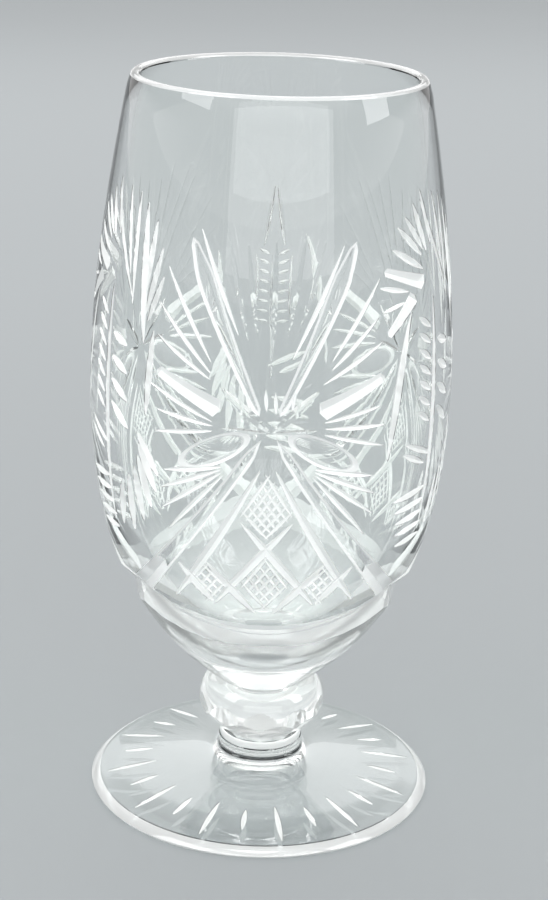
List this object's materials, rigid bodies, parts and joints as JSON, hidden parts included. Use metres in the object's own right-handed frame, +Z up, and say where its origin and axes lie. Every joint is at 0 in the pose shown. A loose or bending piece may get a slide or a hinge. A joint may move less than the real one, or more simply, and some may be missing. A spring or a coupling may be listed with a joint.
{
  "type": "footed iced tea glass",
  "caption": "Footed iced tea glass of cut crystal: barrel bowl with mitre stars, feathered columns and a crosshatched skirt, faceted knop, wafer and a rayed foot.",
  "frame": {"origin": "centre of the flat ring that the foot stands on", "axes": "+Z up along the axis of the glass; -Y faces the middle of one cut star, and the other two stars stand 120 degrees either way round"},
  "size_m": [0.0794, 0.0794, 0.165],
  "materials": {
    "crystal": "clear lead crystal, fire-polished, with wheel-cut mitres polished bright and a faint cool grey cast"
  },
  "bodies": {
    "root": {"foot": "crystal", "wafer": "crystal", "knop": "crystal", "bowl": "crystal"}
  },
  "joints": []
}
